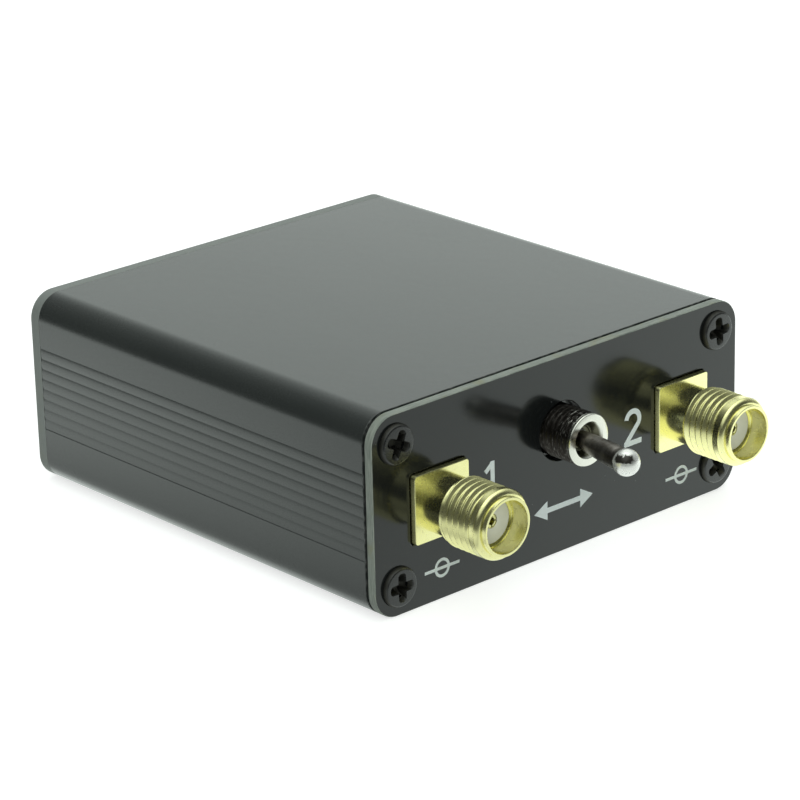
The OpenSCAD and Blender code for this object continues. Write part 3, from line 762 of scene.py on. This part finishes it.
for port, (x, side, start_angle) in JACK_PLACES.items():
    # Local Z runs out of the jack's mouth, and local Y is up
    seat = Matrix.Translation(Vector((x, side * CASE_END, JACK_Z)) * MM) @ facing_out(side)

    barrel = [(CORE_HOLE_R, 0), (NECK_R, 0), (NECK_R, THREAD_FROM, True)]
    barrel += [(THREAD_R - 0.16, THREAD_FROM)]
    barrel += [(THREAD_R, THREAD_FROM + 0.17 + i * THREAD_STEP) for i in range(THREAD_RINGS)]
    for c, s in arc(0, 0, 1, 6, 90, 10):
        barrel.append((MOUTH_R + (THREAD_R - MOUTH_R) * c, SHOULDER + (RING_FROM - SHOULDER) * s))
    barrel += [(MOUTH_R, MOUTH, True), (BORE_R, MOUTH, True)]
    barrel += [(BORE_R, CORE_FACE, True), (CORE_HOLE_R, CORE_FACE)]
    bm = bmesh.new()
    spun(bm, eased(barrel, 0.09), AROUND)
    shell = piece(port + "_shell", bm, [gold_finish])
    cut_thread(
        shell, gold_finish, pitch=THREAD_PITCH, depth=THREAD_DEPTH, groove_half=0.32,
        floor_half=0.05, start_angle=start_angle, low=THREAD_FROM + 0.05, high=THREAD_TO,
        run_out=0.35, least_radius=THREAD_R - 0.2,
    )

    bm = bmesh.new()
    loops = solid_loops(flange_outline, [circle(0, 0, CORE_HOLE_R, 72)])
    sawn(bm, loops, FLANGE_BACK + FLANGE_FRONT)
    bmesh.ops.transform(bm, matrix=LENGTH_ONTO_Z, verts=bm.verts)
    flange = piece("flange", bm, [gold_finish])
    legs = []
    for leg_side in (-1, 1):
        outer, inner = leg_side * FLANGE_HALF, leg_side * (FLANGE_HALF - LEG_T)
        for low, high in LEG_HEIGHTS:
            bm = bmesh.new()
            box(bm, (min(outer, inner), low, -LEG_L), (max(outer, inner), high, LEG_ROOT))
            bmesh.ops.recalc_face_normals(bm, faces=bm.faces)
            bmesh.ops.bevel(bm, geom=bm.edges[:], offset=0.05 * MM, segments=2, affect="EDGES")
            legs.append(piece("leg", bm, [gold_finish]))
    join_solids(shell, [flange] + legs, thread=on_thread)
    shell.data.transform(seat)
    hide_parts(port + "_jack")
    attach(shell, "case")

    hole_r = SOCKET_R + 0.01
    core = [(hole_r, 0), (CORE_R, 0), (CORE_R, CORE_FACE, True), (hole_r, CORE_FACE, True)]
    bm = bmesh.new()
    spun(bm, eased(core, 0.06), 96)
    insulator = piece(port + "_core", bm, [insulator_finish])
    insulator.data.transform(seat)
    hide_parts(port + "_insulator")
    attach(insulator, "case")

    pin = [(0, -PIN_L), (PIN_R, -PIN_L, True), (PIN_R, 0), (SOCKET_R, 0, True)]
    pin += [(SOCKET_R, CORE_FACE, True), (SOCKET_LIP, CORE_FACE, True)]
    pin += [(SOCKET_LIP, CORE_FACE - 0.15), (SOCKET_BORE, CORE_FACE - 0.6)]
    pin += [(SOCKET_BORE, CORE_FACE - SOCKET_DEPTH), (0, CORE_FACE - SOCKET_DEPTH - 0.25)]
    bm = bmesh.new()
    spun(bm, eased(pin, 0.05), 48, closed=False)
    socket = piece(port + "_contact", bm, [gold_finish])
    slits = []
    for turn in (0, math.pi / 2):
        bm = bmesh.new()
        low = (-SLIT_REACH, -SLIT_HALF, CORE_FACE - SLIT_L)
        high = (SLIT_REACH, SLIT_HALF, CORE_FACE + 0.1)
        box(bm, low, high, Matrix.Rotation(turn, 4, "Z"))
        slits.append(piece("slit", bm, [gold_finish]))
    join_solids(socket, slits, "DIFFERENCE")
    socket.data.transform(seat)
    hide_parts(port + "_socket")
    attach(socket, "case")


# Toggle switch ----------------------------------------------------------------
# A miniature toggle soldered upright to the board. A threaded nickel bushing stands
# through the panel, and a ball-tipped lever swings in it from side to side.

# Heights are from the pivot, outwards
PIVOT_Y = -25.05
TOGGLE_Z = 11.49
BUSHING_R = 2.415
BUSHING_PITCH = 0.53
COLLAR_STEP = 0.04
RIM = 2.0
RIM_BORE = 1.67
THROAT_R = 1.1
THROAT = 1.02
SEAT_R = 1.5
SEAT_BACK = -1.6
REAR_BORE = 1.8
PLATE_FRONT = -3.1
PLATE_BACK = -3.7
PLATE_HALF_W = 3.8
PLATE_HALF_H = 2.2
BED_R = 0.38
BED_HALF_L = 1.82
REST_TURN = -10.5
BALL_AT = 8.1
BALL_R = 1.223
STEM_FOOT_R = 0.78
STEM_NECK_R = 1.05
TAIL_R = 0.95
TAIL_BORE = 0.53
TAIL_BORE_TOP = -1
TAIL_END = -5.2
TRUNNION_R = 0.35
TRUNNION_HALF_L = 1.75

nickel_skin = Finish("bright_nickel")
satin = nickel_skin.noise(0.5)
wear = nickel_skin.noise(0.22, detail=4).rise(0.6, 0.75)
nickel_finish = nickel_skin.surface(
    base_color=nickel_skin.blend(wear * 0.4, tone(0.76, 0.755, 0.71), tone(0.55, 0.52, 0.45)),
    metallic=1.0,
    roughness=0.13 + satin * 0.08 + wear * 0.1,
    normal=nickel_skin.bump(nickel_skin.noise(0.07), 0.001),
)

# The thread is painted near black from just behind the rim as a painted dark reflection, with
# painted glints brighter on its upper side, and the bore is painted dark as painted shade
collar_skin = Finish("greased_threaded_nickel")
cx, cy, cz = collar_skin.axes(collar_skin.place)
cz = cz - TOGGLE_Z * MM
off_axis = cx.math("SQRT", cx * cx + cz * cz)
behind_rim = cy - (PIVOT_Y - RIM) * MM
dark_painted_thread = off_axis.rise(1.9 * MM, 2.0 * MM) * behind_rim.rise(0.25 * MM, 0.6 * MM)
# Painted shade in the bore
painted_bore_shade = (1 - off_axis.rise(1.58 * MM, 1.66 * MM)) * behind_rim.rise(0.03 * MM, 0.3 * MM)
streaks = collar_skin.noise(0.45, 0.06, 0.45).rise(0.55, 0.66)
# Painted highlights: glints, brighter on the thread's upper side near the rim
painted_top_light = cz.rise(0.2 * MM, 1.8 * MM) * (1 - behind_rim.rise(0.9 * MM, 2.2 * MM))
painted_glints = (streaks * (0.15 + 0.85 * painted_top_light)).clamp()
dark_paint_with_glints = collar_skin.blend(painted_glints, tone(0.032, 0.028, 0.025), tone(0.62, 0.60, 0.56))
mottle = collar_skin.noise(0.4)
bright = collar_skin.blend(mottle, tone(0.80, 0.79, 0.72), tone(0.72, 0.71, 0.64))
bright = collar_skin.blend(painted_bore_shade, bright, tone(0.12, 0.115, 0.08))
collar_finish = collar_skin.surface(
    base_color=collar_skin.blend(dark_painted_thread, bright, dark_paint_with_glints),
    metallic=1.0,
    roughness=0.18 + collar_skin.noise(0.3) * 0.1 + dark_painted_thread * 0.15,
    normal=collar_skin.bump(collar_skin.noise(0.09, 0.05, 0.09), 0.003),
)

stem_skin = Finish("blackened_stem")
mottle = stem_skin.noise(0.8).rise(0.35, 0.65)
stem_finish = stem_skin.surface(
    base_color=stem_skin.blend(mottle, tone(0.18, 0.16, 0.14), tone(0.40, 0.37, 0.34)),
    metallic=1.0,
    roughness=0.33 + stem_skin.noise(0.3) * 0.10,
    normal=stem_skin.bump(stem_skin.noise(0.1), 0.002),
)

# The ball is worn pale, and a dark patch on its front is a painted reflection of the dark room
lever_turn = Matrix.Rotation(math.radians(REST_TURN), 4, "Z")
ball_centre = Vector((0, PIVOT_Y, TOGGLE_Z)) + lever_turn @ Vector((0, -BALL_AT, 0))
DARK_REFLECTION_FACING = Vector((-0.728, -0.403, 0.558))
DARK_REFLECTION_HEIGHT = 0.52
tip_skin = Finish("worn_ball_tip")
ends = {0: tip_skin.place, 1: ball_centre * MM}
from_centre = tip_skin.node("ShaderNodeVectorMath", {"operation": "SUBTRACT"}, ends)
facing_dark_reflection = tip_skin.dot(from_centre, DARK_REFLECTION_FACING) / (BALL_R * MM)
_, _, height = tip_skin.axes(from_centre)
low_high = abs(height / (BALL_R * MM) - DARK_REFLECTION_HEIGHT)
ragged = (tip_skin.noise(0.28, detail=4) - 0.5) * 0.5
# Painted reflection: a ragged dark patch at one place on the ball
painted_dark_reflection = (facing_dark_reflection + ragged * 0.6).rise(0.66, 0.80) * (1 - (low_high + ragged).rise(0.20, 0.30))
tip_finish = tip_skin.surface(
    base_color=tip_skin.blend(painted_dark_reflection, tone(0.90, 0.89, 0.86), tone(0.05, 0.045, 0.04)),
    metallic=0.62,
    roughness=0.24 + tip_skin.noise(0.3) * 0.08,
    normal=tip_skin.bump(tip_skin.noise(0.15), 0.001),
)

tin_skin = Finish("tinned_steel_sheet")
tin_finish = tin_skin.surface(
    base_color=tin_skin.blend(tin_skin.noise(1), tone(0.52, 0.52, 0.52), tone(0.68, 0.68, 0.67)),
    metallic=1.0,
    roughness=0.32 + tin_skin.noise(0.1, 3, 0.1) * 0.2,
)

moulding = Finish("black_moulding")
plastic_finish = moulding.surface(
    base_color=moulding.blend(
        moulding.noise(1), tone(0.016, 0.016, 0.017), tone(0.03, 0.03, 0.031)
    ),
    roughness=0.45 + moulding.noise(0.1) * 0.15,
    normal=moulding.bump(moulding.noise(0.08), 0.004),
)

wire_skin = Finish("spring_wire")
wire_finish = wire_skin.surface(
    base_color=wire_skin.blend(
        wire_skin.noise(0.2), tone(0.42, 0.42, 0.42), tone(0.58, 0.58, 0.57)
    ),
    metallic=1.0,
    roughness=0.3 + wire_skin.noise(0.1) * 0.1,
)

dress(["switch_housing"], plastic_finish)
dress(["switch_bracket"], tin_finish)
dress(["terminal_common", "terminal_1", "terminal_2"], nickel_finish)
dress(["contact_rocker", "lever_plunger"], nickel_finish)
dress(["lever_spring"], wire_finish)


def rectangle(left, right, low, high):
    """A closed loop with square corners."""
    return [(left, low), (right, low), (right, high), (left, high)]


pivot = Matrix.Translation(Vector((0, PIVOT_Y, TOGGLE_Z)) * MM)
collar = [(REAR_BORE, PLATE_BACK), (BUSHING_R, PLATE_BACK)]
collar += [(BUSHING_R, PLATE_BACK + (i + 1) * COLLAR_STEP) for i in range(THREAD_RINGS)]
collar += [(BUSHING_R, RIM - 0.1), (BUSHING_R - 0.05, RIM - 0.02), (BUSHING_R - 0.1, RIM)]
collar += [(RIM_BORE + 0.05, RIM), (RIM_BORE, RIM - 0.04), (THROAT_R, THROAT)]
collar += arc(0, 0, SEAT_R, 42, 0, 7) + [(SEAT_R, SEAT_BACK), (REAR_BORE, SEAT_BACK)]
bm = bmesh.new()
spun(bm, collar, 128)
bushing = piece("threaded_bushing", bm, [collar_finish])
cut_thread(
    bushing, collar_finish, pitch=BUSHING_PITCH, depth=0.27, groove_half=0.235, floor_half=0.02,
    start_angle=70, low=PLATE_FRONT + 0.1, high=RIM - 0.2, run_out=0.35,
    least_radius=BUSHING_R - 0.03,
)

plate_outline = rectangle(-PLATE_HALF_W, PLATE_HALF_W, -PLATE_HALF_H, PLATE_HALF_H)
stations = [(PLATE_BACK, 0.04), (PLATE_BACK + 0.04, 0)]
stations += [(PLATE_FRONT - 0.04, 0), (PLATE_FRONT, 0.04)]
bm = bmesh.new()
sawn(bm, solid_loops(plate_outline, [circle(0, 0, REAR_BORE, 64)]), stations)
bmesh.ops.transform(bm, matrix=LENGTH_ONTO_Z, verts=bm.verts)
plate = piece("bushing_plate", bm, [collar_finish])
on_thread = (2.05, PLATE_FRONT + 0.05, RIM - 0.15)
join_solids(bushing, [plate], thread=on_thread)

# The trunnion's bed is a bore across the seat, and its way lets it in from behind
bed = [(0, -BED_HALF_L), (BED_R, -BED_HALF_L), (BED_R, BED_HALF_L), (0, BED_HALF_L)]
bm = bmesh.new()
spun(bm, bed, 32, closed=False)
bmesh.ops.transform(bm, matrix=ON_ITS_BACK, verts=bm.verts)
bed = piece("trunnion_bed", bm, [collar_finish])
bm = bmesh.new()
box(bm, (-BED_R, -BED_HALF_L, PLATE_BACK - 0.1), (BED_R, BED_HALF_L, 0))
way = piece("trunnion_way", bm, [collar_finish])
join_solids(bushing, [bed, way], "DIFFERENCE", on_thread)
bushing.data.transform(pivot @ facing_out(-1))
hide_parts("switch_bushing")
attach(bushing, "case")

pivot_r = SEAT_R - 0.05
tail_turn = math.degrees(math.acos(TAIL_R / pivot_r))
stem_turn = math.degrees(math.acos(STEM_FOOT_R / pivot_r))
neck_turn = math.degrees(math.acos(STEM_NECK_R / BALL_R))
stem_from = math.sqrt(pivot_r ** 2 - STEM_FOOT_R ** 2)
stem_to = BALL_AT - math.sqrt(BALL_R ** 2 - STEM_NECK_R ** 2)
lever = [(0, TAIL_BORE_TOP), (TAIL_BORE, TAIL_BORE_TOP)]
lever += [(TAIL_BORE, TAIL_END, True), (TAIL_R, TAIL_END, True)]
lever += arc(0, 0, pivot_r, -tail_turn, stem_turn, 20)
for t in (i / 12 for i in range(1, 12)):
    swell = (STEM_NECK_R - STEM_FOOT_R) * t * (2 - t)
    lever.append((STEM_FOOT_R + swell, stem_from + (stem_to - stem_from) * t))
lever += arc(0, BALL_AT, BALL_R, -neck_turn, 90, 28)[:-1] + [(0, BALL_AT + BALL_R)]
bm = bmesh.new()
spun(bm, eased(lever, 0.1), 80, closed=False)
for face in bm.faces:
    at = face.calc_center_median().z / MM
    if stem_from < at:
        face.material_index = 1 if at < stem_to + 0.06 else 2
stick = piece("toggle_stick", bm, [nickel_finish, stem_finish, tip_finish], turn_deg=40)
trunnion_ends = [(0, -TRUNNION_HALF_L), (TRUNNION_R, -TRUNNION_HALF_L, True)]
trunnion_ends += [(TRUNNION_R, TRUNNION_HALF_L, True), (0, TRUNNION_HALF_L)]
bm = bmesh.new()
spun(bm, eased(trunnion_ends, 0.06), 32, closed=False)
bmesh.ops.transform(bm, matrix=ON_ITS_BACK, verts=bm.verts)
trunnion = piece("trunnion", bm, [nickel_finish])
join_solids(stick, [trunnion])
stick.data.transform(pivot @ lever_turn @ facing_out(-1))
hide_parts("toggle_lever")
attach(stick, "lever")


# End panels -------------------------------------------------------------------
# Flat plates of black-coated glass-fibre laminate, routed to the case's outline, with the
# pale laminate showing at the cut edge. A thin step sets off the front one from the case,
# and the rear one closes almost flush.

PANEL_T = 1.2
PANEL_FACE = CASE_END + PANEL_T
CUTOUT = 6.6
CUTOUT_CORNER = 0.4
FRONT_JOINT = (0.36, 0.2)
REAR_JOINT = (0.06, 0.02)
TOGGLE_HOLE = 2.75
SCREW_HOLE = 1.25

mask = Finish("black_panel_coating")
peel = mask.noise(1.2, detail=2)
fine_grain = mask.noise(0.12, detail=2)
big_dust = mask.specks(3.1, 0.07, 0.35)
small_dust = mask.specks(1.3, 0.045, 0.22)
smudge = mask.noise(5, detail=4)
dusty = (big_dust + small_dust * 0.7).clamp()
face_colour = mask.blend(smudge, tone(0.007, 0.008, 0.008), tone(0.012, 0.013, 0.013))
mask_finish = mask.surface(
    base_color=mask.blend(dusty, face_colour, tone(0.30, 0.32, 0.32)),
    roughness=0.10 + smudge * 0.06 + dusty * 0.3,
    normal=mask.bump(peel * 0.8 + fine_grain * 0.2, 0.002),
    ior=1.5,
)

core = Finish("laminate_cut_edge")
_, depth_in, _ = core.axes(core.place)
plies = core.noise(1.5, 0.1, 1.5)
# The front plate's edge is black for the quarter of its thickness next to the case: partly the
# black coating on its back, partly painted shade in the joint
near_skin = (abs(depth_in) - CASE_END * MM) / (PANEL_T * MM)
at_rear = depth_in.rise(0, 0.001)
black_back_and_joint_shade = (1 - near_skin.rise(0.26, 0.31)) * (1 - at_rear)
glass = core.blend(plies.rise(0.3, 0.7), tone(0.14, 0.16, 0.14), tone(0.33, 0.35, 0.31))
resin = core.noise(1.6, detail=2).rise(0.55, 0.75)
glass = core.blend(resin * 0.5, glass, tone(0.24, 0.23, 0.12))
glass = core.blend(at_rear * 0.8, glass, tone(0.205, 0.215, 0.21))
edge_finish = core.surface(
    base_color=core.blend(black_back_and_joint_shade, glass, tone(0.012, 0.013, 0.013)),
    roughness=0.5 + plies * 0.2,
    normal=core.bump(plies, 0.02),
)

panel_outline = rounded(CASE_HALF_W, 0, CASE_H, CASE_CORNER, 16)
screw_holes = [circle(x, z, SCREW_HOLE, 32) for x, z in SCREW_SPOTS]


def cutout(x):
    """The square opening round the jack at x."""
    half = CUTOUT / 2
    return [(x + px, JACK_Z + pz) for px, pz in rounded(half, -half, half, CUTOUT_CORNER, 4)]


def panel(name, holes, side, joint):
    """A plate on the front, side -1, or the rear, side 1. Its joint with the case: (gap, inset)."""
    gap, inset = joint
    bm = bmesh.new()
    stations = [(PANEL_FACE, 0.07), (PANEL_FACE - 0.02, 0.025), (PANEL_FACE - 0.06, 0)]
    stations += [(CASE_END + gap, 0), (CASE_END + gap - 0.02, inset), (CASE_END, inset)]
    loops = solid_loops(panel_outline, screw_holes + holes)
    walls = sawn(bm, loops, [(side * y, e) for y, e in stations])
    for i, wall in enumerate(walls):
        wall.material_index = 1 if i % sum(map(len, loops)) < len(loops[0]) else 0
    plate = piece(name + "_plate", bm, [mask_finish, edge_finish], turn_deg=25)
    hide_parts(name + "_panel")
    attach(plate, "case")


openings = {port: cutout(x) for port, (x, _, _) in JACK_PLACES.items()}
toggle_hole = circle(0, TOGGLE_Z, TOGGLE_HOLE, 64)
panel("front", [openings["port_1"], openings["port_2"], toggle_hole], -1, FRONT_JOINT)
panel("rear", [openings["port_common"]], 1, REAR_JOINT)


# Printing ---------------------------------------------------------------------
# Light grey ink on the front panel: a plain number beside each jack, a two-ended arrow
# under the toggle for its throw, and a sign for a coaxial line under each jack.

INK_FACE = PANEL_FACE + 0.022
INK_ROOT = PANEL_FACE - 0.01
PEN = 0.5
ONE_AT = (-8.55, 7.62)
TWO_AT = (8.95, 7.6)
NUMBER_H = 3.43
ARROW_Z = 4.42
ARROW_TIPS = (-3.53, 3.78)
ARROW_HEADS = (-1.91, 2.20)
ARROW_HALF = 0.9
SIGNS = (("1", -14.7), ("2", 15.3))
SIGN_Z = 2.9
SIGN_R = 0.9
SIGN_HOLE = 0.63
SIGN_HALF_L = 2.05
SIGN_HALF_T = 0.14

printing = Finish("light_grey_ink")
ink_finish = printing.surface(
    base_color=printing.blend(printing.noise(0.25), tone(0.72, 0.77, 0.78), tone(0.84, 0.88, 0.88)),
    roughness=0.45 + printing.noise(0.1) * 0.2,
    normal=printing.bump(printing.noise(0.12), 0.004),
)


def stroke(points, width):
    """The outline of a pen line of that width through the points, square at its ends."""
    left, right = [], []
    for i, (x, z) in enumerate(points):
        xa, za = points[max(i - 1, 0)]
        xb, zb = points[min(i + 1, len(points) - 1)]
        dx, dz = xb - xa, zb - za
        n = math.hypot(dx, dz)
        left.append((x - dz / n * width / 2, z + dx / n * width / 2))
        right.append((x + dz / n * width / 2, z - dx / n * width / 2))
    return left + right[::-1]


def printed(name, shapes):
    """Ink prints from closed outlines, each with its holes, laid on the front panel."""
    prints = []
    for outer, holes in shapes:
        bm = bmesh.new()
        stations = [(-INK_FACE, 0.02), (-INK_FACE + 0.006, 0), (-INK_ROOT, 0)]
        sawn(bm, solid_loops(outer, holes), stations)
        prints.append(piece(name, bm, [ink_finish], turn_deg=60))
    if len(prints) > 1:
        join_solids(prints[0], prints[1:])
    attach(prints[0], "case")


x, z = ONE_AT
flag = stroke([(x - 0.85, z + 2.55), (x - 0.05, z + 3.2)], PEN * 0.9)
top = z + NUMBER_H
stem = [(x - PEN / 2, z), (x + PEN / 2, z), (x + PEN / 2, top), (x - PEN / 2 + 0.02, top)]
printed("number_1", [(stem, []), (flag, [])])

x, z = TWO_AT
bowl = arc(x, z + 2.42, 0.84, 170, -28, 18)
swoop = stroke(bowl + [(x - 0.78, z + 0.42), (x - 0.95, z + 0.25)], PEN)
printed("number_2", [(swoop, []), (rectangle(x - 1.12, x + 1.12, z, z + PEN), [])])

left, right = ARROW_HEADS
shaft = rectangle(left - 0.04, right + 0.05, ARROW_Z - PEN / 2, ARROW_Z + PEN / 2)
low, high = ARROW_Z - ARROW_HALF, ARROW_Z + ARROW_HALF
left_head = [(ARROW_TIPS[0], ARROW_Z), (left, low), (left, high)]
right_head = [(ARROW_TIPS[1], ARROW_Z), (right, high), (right, low)]
printed("throw_arrow", [(shaft, []), (left_head, []), (right_head, [])])

for number, x in SIGNS:
    line = rectangle(x - SIGN_HALF_L, x + SIGN_HALF_L, SIGN_Z - SIGN_HALF_T, SIGN_Z + SIGN_HALF_T)
    ring = (circle(x, SIGN_Z, SIGN_R), [circle(x, SIGN_Z, SIGN_HOLE)])
    printed("coaxial_sign_" + number, [ring, (line, [])])


# Screws -----------------------------------------------------------------------
# Eight black zinc-plated pan head screws with a cross recess hold the panels, each turned
# home at its own angle. Their faces are glossier than their sides and recesses. One screw
# is drawn, and set at every hole.

HEAD_R = 1.85
HEAD_EDGE_H = 0.2
HEAD_FACE_R = 1.68
HEAD_H = 0.5
SHANK_R = 0.94
SHANK_L = 6.5
FRONT_TURNS = (-23.5, 5, 1, 28)
REAR_TURNS = (12, -31, 40, -8)
# The recess from its mouth down: the cross's span, the width of its arms, and the height
RECESS = (
    (2.85, 0.98, HEAD_H + 0.1), (2.6, 0.86, HEAD_H - 0.1), (1.8, 0.64, -0.25), (1.0, 0.46, -0.5),
)

zinc = Finish("black_zinc")
worn = zinc.noise(0.3, detail=4)
_, outwards, _ = zinc.axes(zinc.place)
on_face = (abs(outwards) - PANEL_FACE * MM).rise((HEAD_H - 0.2) * MM, (HEAD_H - 0.08) * MM)
face_tone = zinc.blend(worn.rise(0.62, 0.8), tone(0.010, 0.010, 0.010), tone(0.05, 0.05, 0.048))
screw_finish = zinc.surface(
    base_color=zinc.blend(on_face, tone(0.075, 0.073, 0.065), face_tone),
    metallic=1 - on_face,
    roughness=0.55 - on_face * 0.33 + worn * 0.12,
    normal=zinc.bump(zinc.noise(0.12), 0.006),
    ior=1.6,
)


def cross(bm, span, width, z):
    """Corners of a cross whose arms narrow and round off towards their ends."""
    a, b = span / 2, width / 2
    side = [(b, b), (a - b * 0.5, b * 0.94), (a - b * 0.12, b * 0.6)]
    arm = side + [(a, 0)] + [(x, -y) for x, y in side[:0:-1]]
    corners = []
    for c, s in ((1, 0), (0, 1), (-1, 0), (0, -1)):
        corners += [(x * c + y * s, y * c - x * s) for x, y in arm]
    return [bm.verts.new((x * MM, y * MM, z * MM)) for x, y in corners]


head = [(0, HEAD_H), (HEAD_FACE_R, HEAD_H - 0.02, True), (HEAD_R, HEAD_EDGE_H, True)]
head += [(HEAD_R, 0.03), (HEAD_R - 0.03, 0), (SHANK_R, 0)]
shank = [(SHANK_R, -SHANK_L + 0.3), (SHANK_R - 0.3, -SHANK_L), (0, -SHANK_L)]
bm = bmesh.new()
spun(bm, eased(head + shank, 0.09), 64, closed=False)
screw = piece("panel_screw", bm, [screw_finish])
bm = bmesh.new()
levels = [cross(bm, *level) for level in RECESS]
for a, b in zip(levels, levels[1:]):
    for i in range(len(a)):
        bm.faces.new((a[i - 1], a[i], b[i], b[i - 1]))
bm.faces.new(levels[0])
bm.faces.new(levels[-1])
recess = piece("recess", bm, [screw_finish])
join_solids(screw, [recess], "DIFFERENCE")

holes_mesh = bpy.data.meshes.new("screw_holes")
places, turns = [], []
for side, side_turns in ((-1, FRONT_TURNS), (1, REAR_TURNS)):
    for i, turn in enumerate(side_turns):
        x = (-SCREW_X if i % 2 == 0 else SCREW_X) * -side
        z = SCREW_HIGH if i < 2 else SCREW_LOW
        places.append(Vector((x, side * PANEL_FACE, z)) * MM)
        facing = facing_out(side) @ Matrix.Rotation(math.radians(turn), 4, "Z")
        turns += list(facing.to_euler())
holes_mesh.from_pydata(places, [], [])
holes_mesh.attributes.new("facing", "FLOAT_VECTOR", "POINT").data.foreach_set("vector", turns)
screws = bpy.data.objects.new("screws", holes_mesh)
bpy.context.scene.collection.objects.link(screws)

setter = Shaper("set_screws", {"Screw": "Object", "Size": "Float"})
vectors = {"data_type": "FLOAT_VECTOR"}
one = setter.node("GeometryNodeObjectInfo", {}, {"Object": setter.given["Screw"]}, "Geometry")
facing = setter.node("GeometryNodeInputNamedAttribute", vectors, {"Name": "facing"})
turn = setter.node("FunctionNodeEulerToRotation", {}, {0: facing})
sockets = {"Points": setter.given["Geometry"], "Instance": one, "Rotation": turn}
sockets["Scale"] = setter.given["Size"]
setter.end(setter.node("GeometryNodeInstanceOnPoints", {}, sockets))
setter.shape(screws, {"Screw": screw, "Size": 1.0, "Finish": screw_finish})
bpy.data.objects.remove(screw)
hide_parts("panel_screws")
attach(screws, "case")
